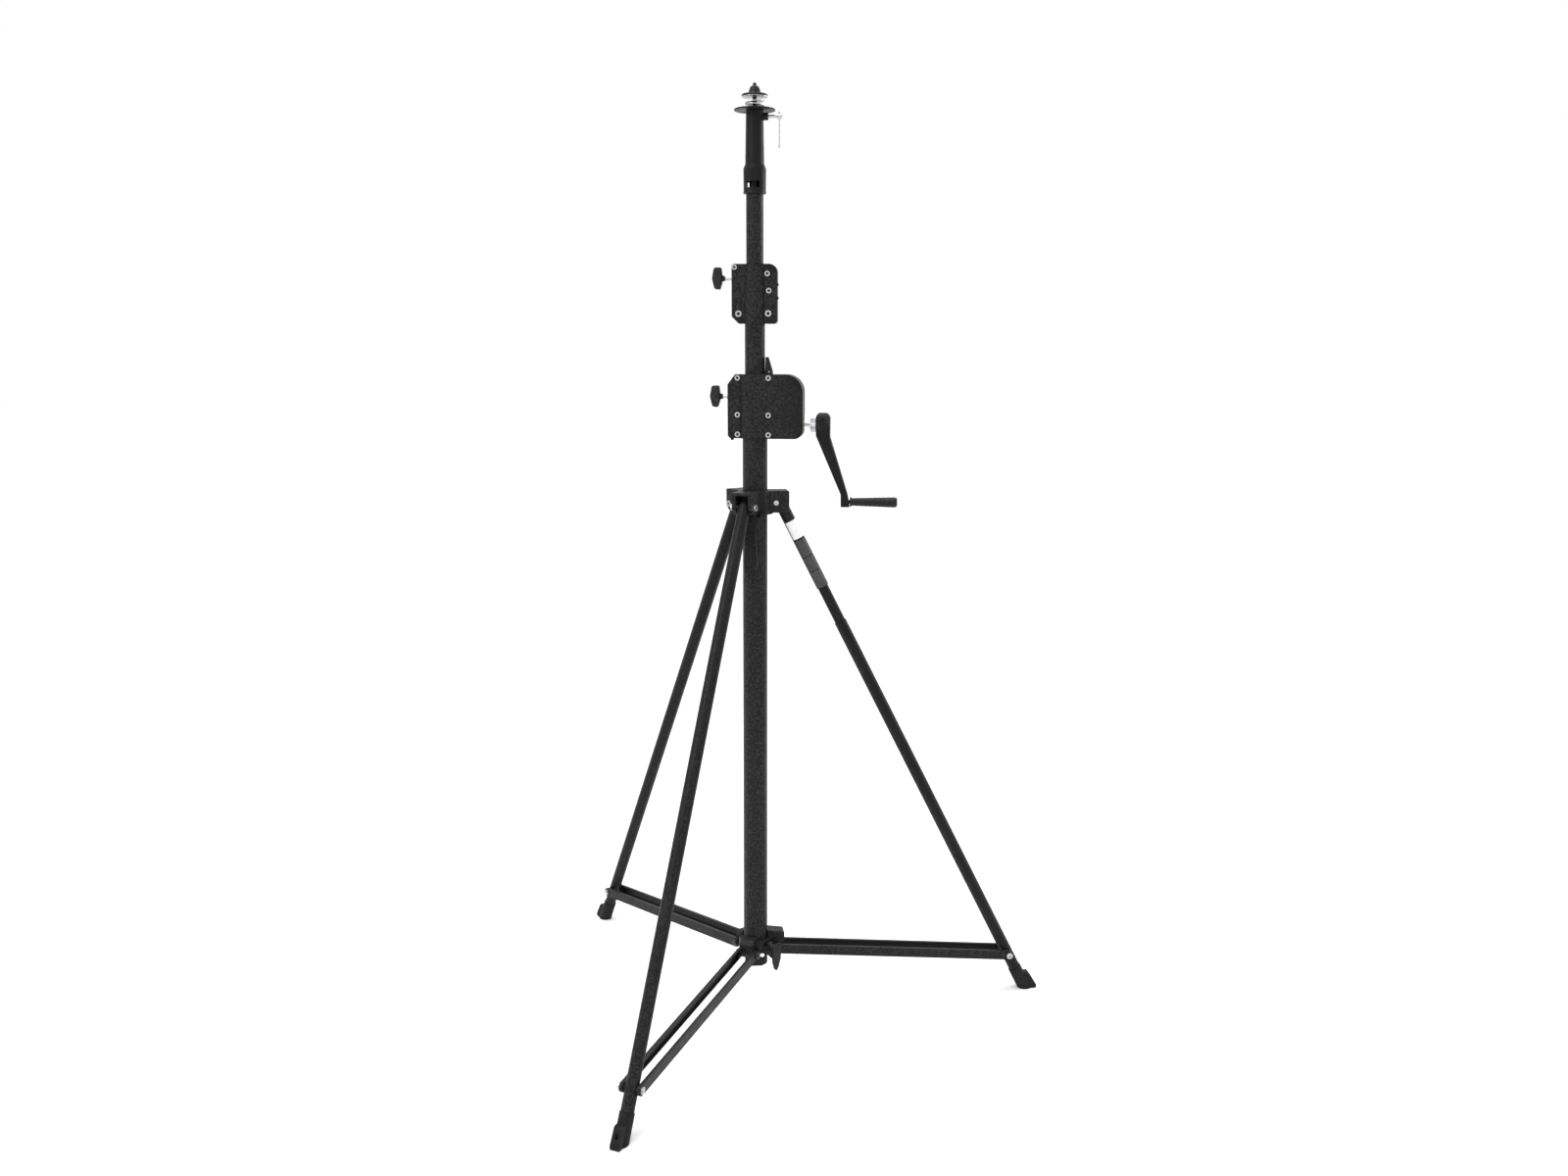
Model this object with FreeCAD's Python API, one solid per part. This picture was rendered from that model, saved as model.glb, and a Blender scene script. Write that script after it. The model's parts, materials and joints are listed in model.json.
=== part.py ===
import FreeCAD, Part
import math
import os

# Crank lighting stand.  Millimetres, +Z up, origin on the floor under the mast axis.
# The winch box and the crank point along +X.

# ---- driving dimensions -------------------------------------------------------------
MAIN_R = 25.0            # main tube, outer radius
MAIN_WALL = 1.5
MAIN_Z = (134.0, 1334.0)
RISER1_R = 20.0          # first riser, outer radius
RISER1_WALL = 1.0
RISER1_Z = (160.0, 1540.0)
RISER2_R = 17.0          # second riser, outer radius
RISER2_WALL = 1.5
RISER2_Z = (190.0, 1692.0)

LEG_AZIMUTH = {"right": 13.0, "left": 135.0, "front": 253.0}
LEG_R = 12.7             # leg tube, outer radius
LEG_WALL = 1.5
LEG_PIVOT = (54.0, 1075.0)       # radius and height of the leg's upper pivot
LEG_FLOOR_R = 597.0              # radius where the leg's axis meets the floor
BRACE_PIVOT_S = 1110.0           # distance from the upper pivot to the brace pivot
COLLAR_PIVOT = (42.0, 128.0)     # brace pivot on the lower collar
BRACE_INNER_Y = 14.75            # inner face of a brace channel
BRACE_FLANGE = 6.5
BRACE_HEIGHT = 20.0
BRACE_SHEET = 1.8
LUG_HALF = 14.2                  # half width of everything between two brace channels

BOX_Z = (1210.0, 1337.0)         # winch box
BOX_X = (-54.0, 98.0)
BOX_HALF_DEPTH = 30.0
FLANGE_HALF = 11.0
HEAD_BOX_Z = (1436.0, 1552.0)    # clamp box on top of the first riser
HEAD_BOX_HALF_X = 45.3
HEAD_FLANGE_HALF = 10.0
SADDLE_R = 21.6

MODULE = 2.0
WHEEL_TEETH = 24
WORM_STARTS = 2
WORM_R = 10.0                    # pitch radius
WORM_Y = 14.0
WHEEL_PHASE = 5.5                # degrees
SHAFT_Z = 1237.0
DRUM_X = 67.75
DRUM_BARREL_R = 17.0
CABLE_R = 1.0                    # lift cable
STAGE_CABLE_R = 0.75
PULLEY_X = 35.75
PULLEY_Z = 1298.0
PULLEY_R = 14.0                  # radius at the cable's centre
STAGE_PULLEY_R = 8.0
STAGE_PULLEY_Z = 1499.0
STAGE_CABLE_Y = 18.0             # the inner run, between the two risers

CLAMP_AZIMUTH = 262.0            # lever on the upper collar
CLAMP_Z = 1058.0
LATCH_AZIMUTH = -36.0            # latch on the lower collar
LATCH_PIVOT = (47.0, 130.0)
PLATE_AZIMUTH = 276.0
CRANK_Z = 1082.0                 # height of the hand grip's axis
LOCK1_Z = 1293.0
LOCK2_Z = 1524.0
T_SCREW_Z = 1831.0
FIT = 0.1                        # radial clearance of a running fit

# ---- derived ------------------------------------------------------------------------
LEG_LENGTH = math.hypot(LEG_FLOOR_R - LEG_PIVOT[0], LEG_PIVOT[1])
LEG_SIN = (LEG_FLOOR_R - LEG_PIVOT[0]) / LEG_LENGTH
LEG_COS = LEG_PIVOT[1] / LEG_LENGTH
WHEEL_R = MODULE * WHEEL_TEETH / 2.0
WHEEL_Z = SHAFT_Z + WORM_R + WHEEL_R
STAGE_PULLEY_Y = STAGE_CABLE_Y + STAGE_PULLEY_R
STAGE_CABLE_OUT_Y = STAGE_CABLE_Y + 2 * STAGE_PULLEY_R

V = FreeCAD.Vector
X_AXIS = V(1, 0, 0)
Y_AXIS = V(0, 1, 0)
Z_AXIS = V(0, 0, 1)
ORIGIN = V(0, 0, 0)


# ---- small helpers ------------------------------------------------------------------
def box(x0, x1, y0, y1, z0, z1):
    return Part.makeBox(x1 - x0, y1 - y0, z1 - z0, V(x0, y0, z0))


def rod(start, direction, radius, length):
    return Part.makeCylinder(radius, length, start, direction)


def post(radius, z0, z1, x=0.0, y=0.0):
    return Part.makeCylinder(radius, z1 - z0, V(x, y, z0))


def pipe(outer, inner, z0, z1):
    return post(outer, z0, z1).cut(post(inner, z0 - 1, z1 + 1))


def join(shapes):
    first = shapes[0].copy()
    return first.fuse(list(shapes[1:])).removeSplitter()


def turned(shape, degrees):
    """The shape turned about the mast axis."""
    copy = shape.copy()
    copy.rotate(ORIGIN, Z_AXIS, degrees)
    return copy


def lathe(profile, start, direction):
    """A solid of revolution: profile points are (distance along, radius)."""
    points = [V(r, 0, a) for a, r in profile]
    face = Part.Face(Part.makePolygon(points + [points[0]]))
    solid = face.revolve(ORIGIN, Z_AXIS, 360)
    solid.Placement = FreeCAD.Placement(start, FreeCAD.Rotation(Z_AXIS, direction))
    return solid


def rounded_wire(corners, to_point):
    """A closed wire through (u, v, radius) corners; to_point maps (u, v) to space."""
    starts, mids, ends = [], [], []
    count = len(corners)
    for i, (u, v, radius) in enumerate(corners):
        before = corners[i - 1]
        after = corners[(i + 1) % count]
        a = FreeCAD.Vector(before[0] - u, before[1] - v, 0).normalize()
        b = FreeCAD.Vector(after[0] - u, after[1] - v, 0).normalize()
        half = math.acos(max(-1.0, min(1.0, a.dot(b)))) / 2.0
        corner = FreeCAD.Vector(u, v, 0)
        reach = radius / math.tan(half)
        middle = (a + b).normalize()
        starts.append(corner + a * reach)
        ends.append(corner + b * reach)
        mids.append(corner + middle * (radius / math.sin(half) - radius))
    edges = []
    for i in range(count):
        if corners[i][2] > 0:
            arc = [to_point(p.x, p.y) for p in (starts[i], mids[i], ends[i])]
            edges.append(Part.Arc(*arc).toShape())
        first = to_point(ends[i].x, ends[i].y)
        last = to_point(starts[(i + 1) % count].x, starts[(i + 1) % count].y)
        if first.distanceToPoint(last) > 1e-6:
            edges.append(Part.LineSegment(first, last).toShape())
    return Part.Wire(edges)


def plate_y(corners, y0, y1):
    """An outline in the XZ plane, extruded from y0 to y1."""
    wire = rounded_wire(corners, lambda u, v: V(u, y0, v))
    return Part.Face(wire).extrude(V(0, y1 - y0, 0))


def socket_screw(point, direction, radius, length, head_r, head_h):
    """A cap screw: point is under the head, direction points out of the head."""
    key = Part.Face(Part.makePolygon(hexagon(head_r * 0.58))).extrude(V(0, 0, head_h))
    key.translate(V(0, 0, head_h * 0.3))
    screw = post(head_r, 0, head_h).fuse(post(radius, -length, 0.0)).cut(key)
    screw = screw.removeSplitter()
    screw.Placement = FreeCAD.Placement(point, FreeCAD.Rotation(Z_AXIS, direction))
    return screw


def hexagon(radius):
    points = []
    for i in range(7):
        angle = math.radians(60.0 * i)
        points.append(V(radius * math.cos(angle), radius * math.sin(angle), 0))
    return points


def hex_nut(point, direction, across, bore, height):
    prism = Part.Face(Part.makePolygon(hexagon(across / math.sqrt(3.0))))
    nut = prism.extrude(V(0, 0, height)).cut(post(bore, -1, height + 1))
    nut.Placement = FreeCAD.Placement(point, FreeCAD.Rotation(Z_AXIS, direction))
    return nut


def leg_point(along, outward=0.0, side=0.0):
    """A point on a leg in its own upright plane: X is the radius, Y the side."""
    x = LEG_PIVOT[0] + along * LEG_SIN + outward * LEG_COS
    z = LEG_PIVOT[1] - along * LEG_COS + outward * LEG_SIN
    return V(x, side, z)


LEG_DIRECTION = V(LEG_SIN, 0, -LEG_COS)


def leg_tube(outer, wall, s0, s1):
    solid = rod(leg_point(s0), LEG_DIRECTION, outer, s1 - s0)
    return solid.cut(rod(leg_point(s0 - 1), LEG_DIRECTION, outer - wall, s1 - s0 + 2))


def cable(points, radius):
    """A cable through straight runs and half turns; points are V or (mid, end) pairs."""
    edges = []
    here = points[0]
    for step in points[1:]:
        if isinstance(step, tuple):
            edges.append(Part.Arc(here, step[0], step[1]).toShape())
            here = step[1]
        else:
            edges.append(Part.LineSegment(here, step).toShape())
            here = step
    path = Part.Wire(edges)
    direction = (points[1] - points[0]).normalize()
    ring = Part.Wire(Part.makeCircle(radius, points[0], direction))
    solid = path.makePipeShell([ring], True, False)
    ratio = solid.Volume / (math.pi * radius ** 2 * path.Length)
    print("cable volume over section times length: %.4f" % ratio)
    return solid


NODES = {}


def keep(name, shape):
    NODES[name] = shape


# ---- mast ---------------------------------------------------------------------------
def make_main_tube():
    tube = pipe(MAIN_R, MAIN_R - MAIN_WALL, *MAIN_Z)
    slot = box(0, 30, -4.5, 4.5, 1280, MAIN_Z[1] + 1)
    pad_hole = rod(V(-30, 0, LOCK1_Z), X_AXIS, 6.2, 12)
    keep("main_tube", tube.cut(slot).cut(pad_hole))
    plug = join([post(MAIN_R, MAIN_Z[0] - 4, MAIN_Z[0]), post(23.45, MAIN_Z[0], 150)])
    keep("main_tube_end_plug", plug.cut(post(6, 120, 151)))
    bush = pipe(23.45, RISER1_R + FIT, 1317, MAIN_Z[1] - 0.1)
    keep("main_guide_bush", bush)


def make_riser_1():
    tube = pipe(RISER1_R, RISER1_R - RISER1_WALL, *RISER1_Z)
    pad_hole = rod(V(-25, 0, LOCK2_Z), X_AXIS, 6.2, 12)
    slot = box(-3.0, 3.0, 0, 25, STAGE_PULLEY_Z - 13, STAGE_PULLEY_Z + 13)
    keep("riser_1_tube", tube.cut(pad_hole).cut(slot))
    shoe = pipe(MAIN_R - MAIN_WALL - FIT, RISER1_R + 0.02, 161, 186)
    sole = pipe(MAIN_R - MAIN_WALL - FIT, 8, 154, 160)
    shoe = join([shoe, sole, pipe(MAIN_R - MAIN_WALL - FIT, RISER1_R + 0.02, 159.5, 162)])
    anchor_x = PULLEY_X - PULLEY_R
    shoe = shoe.cut(post(CABLE_R + 0.2, 158, 190, anchor_x))
    keep("riser_1_foot", shoe)
    keep("riser_1_guide_bush", pipe(18.95, RISER2_R + FIT, 1515.5 + 16, 1539))


def make_riser_2():
    keep("riser_2_tube", pipe(RISER2_R, RISER2_R - RISER2_WALL, *RISER2_Z))
    ring = pipe(18.88, RISER2_R + 0.02, 191, 216)
    sole = pipe(18.88, 6, 184, 190.0)
    shoe = join([ring, sole, pipe(18.88, RISER2_R + 0.02, 189.5, 192)])
    keep("riser_2_foot", shoe.cut(post(STAGE_CABLE_R + 0.15, 188, 220, 0, STAGE_CABLE_Y)))


# ---- winch box ----------------------------------------------------------------------
WINCH_BOLTS = [(-34, 1330), (-34, 1257), (-34, 1218), (30, 1330), (30, 1257), (30, 1218)]


def winch_outline():
    x0, x1 = BOX_X
    z0, z1 = BOX_Z
    return [
        (x0 + 5, z0, 1.5), (x1, z0, 17), (x1, z1, 35),
        (x0 + 15, z1, 3), (x0, z1 - 20, 3), (x0, z0 + 5, 1.5),
    ]


def winch_solid():
    """Both halves of the winch box in one block, before it is split at y = 0."""
    x1 = BOX_X[1]
    z0, z1 = BOX_Z
    flange = plate_y(winch_outline(), -FLANGE_HALF, FLANGE_HALF)
    deep = [(0, z0, 0), (x1, z0, 17), (x1, z1, 35), (0, z1, 0)]
    chest = plate_y(deep, -BOX_HALF_DEPTH, BOX_HALF_DEPTH)
    rim = [e for e in chest.Edges if abs(e.CenterOfMass.y) > BOX_HALF_DEPTH - 0.01]
    rim = [e for e in rim if e.CenterOfMass.x > 1]
    chest = chest.makeFillet(2.5, rim)
    saddle = post(BOX_HALF_DEPTH, z0, z1)
    boss = rod(V(BOX_X[0], 0, LOCK1_Z), X_AXIS, 12.5, 30)
    nub = post(3, z0 - 4, z0 + 1, BOX_X[0] + 8, 0)
    return join([flange, chest, saddle, boss, nub])


def winch_cavities():
    z0, z1 = BOX_Z
    bore = post(MAIN_R + 0.05, z0 - 5, MAIN_Z[1] + 0.05)
    mouth = post(RISER1_R + 0.9, MAIN_Z[1] - 1, z1 + 1)
    upper = box(36.5, 95, -26, 26, 1252, 1331)
    lower = box(45, 95, -26, 26, 1215, 1253)
    corner = box(80, 96, -27, 27, 1316, 1332).cut(rod(V(66, -28, 1303), Y_AXIS, 29, 56))
    corner2 = box(84, 96, -27, 27, 1214, 1226).cut(rod(V(84, -28, 1226), Y_AXIS, 11, 56))
    gears = join([upper, lower]).cut(corner).cut(corner2)
    pulley_way = box(20, 40, -4.2, 4.2, 1281, 1315.5)
    shaft_left = rod(V(37.5, WORM_Y, SHAFT_Z), X_AXIS, 8.0, 8)
    shaft_right = rod(V(94, WORM_Y, SHAFT_Z), X_AXIS, 8.0, 6)
    pad = rod(V(-31, 0, LOCK1_Z), X_AXIS, 6.2, 8)
    screw = rod(V(-60, 0, LOCK1_Z), X_AXIS, 4.0 + FIT, 35)
    holes = [bore, mouth, gears, pulley_way, shaft_left, shaft_right, pad, screw]
    holes.append(rod(V(PULLEY_X, -12, PULLEY_Z), Y_AXIS, 3.0, 24))
    holes.append(rod(V(DRUM_X, -28, WHEEL_Z), Y_AXIS, 4.0, 56))
    for x, z in WINCH_BOLTS:
        holes.append(rod(V(x, -40, z), Y_AXIS, 3.1, 80))
    return holes


def guide_ear(y0, y1):
    """A wedge on the box top that keeps the riser's safety strap off the winch."""
    z1 = BOX_Z[1]
    corners = [(20.9, z1 - 1, 0), (36, z1 - 1, 0), (35, z1 + 7, 2), (27, z1 + 34, 1.5),
               (21.9, z1 + 34, 1)]
    ear = plate_y(corners, y0, y1).cut(post(RISER1_R + 0.9, z1 - 3, z1 + 40))
    return ear.cut(rod(V(29.5, y0 - 1, z1 + 5), Y_AXIS, 1.6, y1 - y0 + 2))


def make_winch_covers():
    solid = winch_solid()
    for hole in winch_cavities():
        solid = solid.cut(hole)
    front_half = box(-80, 130, -60, -0.05, 1190, 1400)
    rear_half = box(-80, 130, 0.05, 60, 1190, 1400)
    front = solid.common(front_half).fuse(guide_ear(-9, -2)).removeSplitter()
    rear = solid.common(rear_half).fuse(guide_ear(2, 9)).removeSplitter()
    out_y = STAGE_CABLE_OUT_Y
    lug = box(-7, 7, 24, out_y + 5, 1316, 1330).cut(post(MAIN_R + 2, 1300, 1340))
    lug = lug.cut(post(STAGE_CABLE_R + 0.15, 1310, 1340, 0, out_y))
    keep("winch_front_cover", front)
    keep("winch_rear_cover", rear.fuse(lug).removeSplitter())


def make_winch_fasteners():
    bolts = []
    for x, z in WINCH_BOLTS:
        depth = BOX_HALF_DEPTH if x > 0 else FLANGE_HALF
        bolts.append(socket_screw(V(x, -depth, z), -Y_AXIS, 3.0, 2 * depth + 6, 5.3, 3.5))
        bolts.append(hex_nut(V(x, depth, z), Y_AXIS, 10, 3.05, 5))
    keep("winch_cover_bolts", Part.makeCompound(bolts))
    axle = rod(V(DRUM_X, -27.8, WHEEL_Z), Y_AXIS, 3.95, 55.6)
    pin = rod(V(PULLEY_X, -11.8, PULLEY_Z), Y_AXIS, 2.95, 23.6)
    ear_pin = rod(V(29.5, -10.5, BOX_Z[1] + 5), Y_AXIS, 1.5, 21)
    keep("winch_pins", Part.makeCompound([axle, pin, ear_pin]))


def make_winch_inside():
    left = rod(V(37.6, WORM_Y, SHAFT_Z), X_AXIS, 7.95, 7.4)
    right = rod(V(94.2, WORM_Y, SHAFT_Z), X_AXIS, 7.95, 4.6)
    bore = rod(V(30, WORM_Y, SHAFT_Z), X_AXIS, 4.5 + 0.05, 80)
    keep("crank_shaft_bushes", Part.makeCompound([left.cut(bore), right.cut(bore)]))
    rim = PULLEY_R + 1.2
    groove = PULLEY_R - CABLE_R - 0.05
    profile = [(-3.2, 3.05), (-3.2, rim), (-1.3, rim), (-1.3, groove),
               (1.3, groove), (1.3, rim), (3.2, rim), (3.2, 3.05)]
    keep("lift_pulley", lathe(profile, V(PULLEY_X, 0, PULLEY_Z), Y_AXIS))


def make_drum():
    bore = 4.0 + 0.05
    barrel = [(-9, bore), (-9, 22.5), (-7.2, 22.5), (-7.2, DRUM_BARREL_R),
              (7.2, DRUM_BARREL_R), (7.2, 22.5), (8.9, 22.5), (8.9, 14), (9.5, 14), (9.5, bore)]
    keep("cable_drum", lathe(barrel, V(DRUM_X, 0, WHEEL_Z), Y_AXIS))
    coil = [(-6.9, 17.05), (-6.9, 19.0), (6.9, 19.0), (6.9, 17.05)]
    keep("cable_winding", lathe(coil, V(DRUM_X, 0, WHEEL_Z), Y_AXIS))


def wheel_outline(y, twist):
    """The worm wheel's outline at one end of its face, turned by twist radians."""
    root, tip = WHEEL_R - 2.4, WHEEL_R + 1.8
    points = []
    for i in range(WHEEL_TEETH):
        centre = 2 * math.pi * i / WHEEL_TEETH
        for radius, half in ((root, 1.85), (tip, 0.5), (tip, -0.5), (root, -1.85)):
            angle = centre + twist - half / radius
            points.append(V(-radius * math.sin(angle), y, -radius * math.cos(angle)))
    return Part.makePolygon(points + [points[0]])


def make_worm_wheel():
    half_face = 4.5
    lead = MODULE * math.pi * WORM_STARTS
    slope = lead / (2 * math.pi * WORM_R)
    twist = slope * half_face / WHEEL_R
    ends = [wheel_outline(-half_face, -twist), wheel_outline(half_face, twist)]
    wheel = Part.makeLoft(ends, True, True)
    wheel = wheel.cut(rod(V(0, -10, 0), Y_AXIS, 4.05, 20))
    wheel.translate(V(DRUM_X, WORM_Y, WHEEL_Z))
    # turned so that a tooth space faces the worm's thread at rest
    wheel.rotate(V(DRUM_X, 0, WHEEL_Z), Y_AXIS, WHEEL_PHASE)
    keep("worm_wheel", wheel)


def worm_thread(turn):
    lead = MODULE * math.pi * WORM_STARTS
    length = 36.0
    root, tip = 7.3, WORM_R + 1.8
    helix = Part.makeHelix(lead, length, WORM_R)
    corners = [V(root, 0, -1.6), V(tip, 0, -0.55), V(tip, 0, 0.55), V(root, 0, 1.6)]
    profile = Part.makePolygon(corners + [corners[0]])
    thread = Part.Wire(helix).makePipeShell([profile], True, True)
    thread.rotate(ORIGIN, Z_AXIS, turn)
    return thread


def make_crank_shaft():
    core = post(7.6, -1.9, 38.0)
    worm = core.fuse([worm_thread(0), worm_thread(180)])
    worm = worm.common(post(20, -1.5, 37.5))
    worm.Placement = FreeCAD.Placement(
        V(DRUM_X - 18.0, WORM_Y, SHAFT_Z), FreeCAD.Rotation(Z_AXIS, X_AXIS))
    shaft = rod(V(38.5, WORM_Y, SHAFT_Z), X_AXIS, 4.5, 91)
    keep("crank_shaft", worm.fuse(shaft).removeSplitter())


# ---- locking knobs ------------------------------------------------------------------
def wing_knob(x0, z):
    """A T-shaped grip: its neck starts at x0 and the grip lies beyond, towards -X."""
    neck = lathe([(-2.0, 0), (0, 4.6), (3.6, 5.4), (8.0, 8.5), (8.0, 0)],
                 V(x0 + 0.4, 0, z), -X_AXIS)
    corners = [(x0 - 6, z - 9, 3), (x0 - 10, z - 21.5, 3), (x0 - 21, z - 20.5, 5),
               (x0 - 26, z, 14), (x0 - 22, z + 21.5, 5), (x0 - 7.5, z + 21.5, 3),
               (x0 - 6, z + 9, 3)]
    grip = plate_y(corners, -8.5, 8.5)
    edges = [e for e in grip.Edges if abs(e.CenterOfMass.y) > 8.4]
    grip = grip.makeFillet(3.0, edges)
    return join([grip, neck])


def make_lock(name, z, pad_x, neck_x):
    pad = rod(V(pad_x - 3.6, 0, z), X_AXIS, 5.6, 3.6)
    keep(name + "_lock_pad", pad)
    tip_x = pad_x - 3.9
    screw = rod(V(neck_x - 5, 0, z), X_AXIS, 4.0, tip_x - neck_x + 5)
    keep(name + "_lock_knob", join([wing_knob(neck_x, z), screw]))


# ---- clamp box on the first riser ---------------------------------------------------
HEAD_BOLTS = [(-39.3, 1545.2, 4.9), (25.8, 1533, 5.3), (29, 1500, 5.3),
              (-31.5, 1455.4, 6.2), (27.7, 1456, 6.2)]


def head_box_solid():
    x = HEAD_BOX_HALF_X
    z0, z1 = HEAD_BOX_Z
    corners = [(-x + 14, z0, 2), (x, z0, 7), (x, z1, 17), (-x, z1, 6), (-x, z0 + 14, 2)]
    plate = plate_y(corners, -HEAD_FLANGE_HALF, HEAD_FLANGE_HALF)
    rim = [e for e in plate.Edges if abs(e.CenterOfMass.y) > HEAD_FLANGE_HALF - 0.01]
    plate = plate.makeFillet(1.2, rim)
    saddle = post(SADDLE_R, z0, z1 - 3)
    bumps = [rod(V(x - 2.5, -4, z), Y_AXIS, 4.5, 8) for z in (1512, 1486)]
    return join([plate, saddle] + bumps)


def pulley_housing():
    """The rear bulge that carries the second cable's pulley."""
    y1 = STAGE_CABLE_OUT_Y + 5.5
    z = STAGE_PULLEY_Z
    block = box(-11, 11, 6, y1, z - 17, z + 17)
    edges = [e for e in block.Edges if e.CenterOfMass.y > y1 - 0.01]
    block = block.makeFillet(4.0, edges)
    slot = box(-2.9, 2.9, 5, STAGE_CABLE_OUT_Y + 2.2, z - 18, z + 12)
    pin = rod(V(-9, STAGE_PULLEY_Y, z), X_AXIS, 1.95, 18)
    return block, slot, pin


def make_head_box():
    solid = head_box_solid()
    block, slot, pin = pulley_housing()
    solid = join([solid, block])
    solid = join([solid.cut(slot), pin])
    z0, z1 = HEAD_BOX_Z
    solid = solid.cut(post(RISER1_R + 0.05, z0 - 1, RISER1_Z[1] + 0.05))
    solid = solid.cut(post(RISER2_R + 0.7, z0, z1 + 1))
    solid = solid.cut(rod(V(-27, 0, LOCK2_Z), X_AXIS, 6.2, 8))
    solid = solid.cut(rod(V(-60, 0, LOCK2_Z), X_AXIS, 4.0 + FIT, 38))
    for x, z, _ in HEAD_BOLTS:
        solid = solid.cut(rod(V(x, -20, z), Y_AXIS, 2.6, 40))
    keep("head_box_front", solid.common(box(-60, 60, -60, -0.05, 1400, 1600)))
    keep("head_box_rear", solid.common(box(-60, 60, 0.05, 60, 1400, 1600)))


def make_head_box_parts():
    bolts = []
    half = HEAD_FLANGE_HALF
    for x, z, head in HEAD_BOLTS:
        bolts.append(socket_screw(V(x, -half, z), -Y_AXIS, 2.5, 2 * half + 5, head, 3.0))
        bolts.append(hex_nut(V(x, half, z), Y_AXIS, 8, 2.55, 4))
    keep("head_box_bolts", Part.makeCompound(bolts))
    centre = V(0, STAGE_PULLEY_Y, STAGE_PULLEY_Z)
    rim = STAGE_PULLEY_R + 0.7
    groove = STAGE_PULLEY_R - STAGE_CABLE_R - 0.05
    profile = [(-2.0, 2.02), (-2.0, rim), (-1.0, rim), (-1.0, groove),
               (1.0, groove), (1.0, rim), (2.0, rim), (2.0, 2.02)]
    keep("stage_pulley", lathe(profile, centre, X_AXIS))


# ---- cables -------------------------------------------------------------------------
def make_cables():
    drum_side = PULLEY_X + PULLEY_R
    tube_side = PULLEY_X - PULLEY_R
    lift = cable([V(drum_side, 0, WHEEL_Z + 9.6), V(drum_side, 0, PULLEY_Z),
                  (V(PULLEY_X, 0, PULLEY_Z + PULLEY_R), V(tube_side, 0, PULLEY_Z)),
                  V(tube_side, 0, 160.5)], CABLE_R)
    keep("lift_cable", lift)
    y_in, y_out = STAGE_CABLE_Y, STAGE_CABLE_OUT_Y
    z = STAGE_PULLEY_Z
    keep("stage_cable_outer", post(STAGE_CABLE_R, 1307.5, z - 20, 0, y_out))
    inner = cable([V(0, y_out, z - 20), V(0, y_out, z),
                   (V(0, STAGE_PULLEY_Y, z + STAGE_PULLEY_R), V(0, y_in, z)),
                   V(0, y_in, 190.5)], STAGE_CABLE_R)
    keep("stage_cable_inner", inner)


# ---- lamp socket and adapter --------------------------------------------------------
def make_head_socket():
    profile = [(1640, 0), (1640, 15.45), (1692.2, 15.45), (1692.2, 17.1), (1686, 17.1),
               (1686, 22.6), (1689, 22.3), (1692, 21.9), (1733, 22.3), (1742, 18.6),
               (1800, 17.6), (1841.5, 17.0), (1841.5, 14.3), (1768, 14.3), (1762, 0)]
    solid = lathe(profile, ORIGIN, Z_AXIS)
    boss = rod(V(12, 0, T_SCREW_Z), X_AXIS, 7.2, 14.5)
    solid = join([solid, boss]).cut(post(14.3, 1768, 1850))
    hollow = pipe(18.8, 10.5, 1696.0, 1711.0)
    window = box(-15.5, 11.5, -30, 30, 1696.5, 1709.0)
    panel = box(-10, 10, -30, -21.2, 1716, 1732)
    solid = solid.cut(hollow).cut(window.cut(post(10.5, 1690, 1720))).cut(panel)
    solid = solid.cut(rod(V(10, 0, T_SCREW_Z), X_AXIS, 3.1, 20))
    keep("head_socket", solid)


def make_adapter():
    profile = [(1770, 0), (1770, 13.4), (1771, 14.2), (1842, 14.2), (1842, 39.8),
               (1843.2, 40.2), (1844.6, 39.8), (1845, 38.8), (1845, 12.6), (1850, 11.8),
               (1850, 0)]
    body = lathe(profile, ORIGIN, Z_AXIS)
    keep("lamp_adapter", body.cut(post(4.02, 1822, 1851)))
    stud = join([post(4.0, 1822.2, 1891), lathe([(1891, 0), (1891, 4), (1894, 2.6), (1894, 0)],
                                               ORIGIN, Z_AXIS)])
    keep("adapter_stud", stud)


def make_clamp_nut():
    washers = []
    for lift, tilt in ((1853.4, 4.0), (1858.6, -7.0)):
        disc = pipe(19.0, 5.2, -0.7, 0.7)
        disc.rotate(ORIGIN, Y_AXIS, tilt)
        disc.translate(V(0, 0, lift))
        washers.append(disc)
    keep("loose_washers", Part.makeCompound(washers))
    disc = lathe([(1866.6, 4.3), (1866.6, 24.4), (1867.4, 25.2), (1868.0, 25.2),
                  (1868.2, 4.3)], ORIGIN, Z_AXIS)
    keep("clamp_washer", disc)
    rim = [(1868.5, 4.1), (1868.5, 25.0), (1871.5, 25.2), (1872.6, 24.0), (1873.4, 12.4),
           (1880, 11.0), (1885.5, 8.8), (1887.2, 7.4), (1887.6, 4.1)]
    keep("clamp_nut", lathe(rim, ORIGIN, Z_AXIS))


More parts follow.
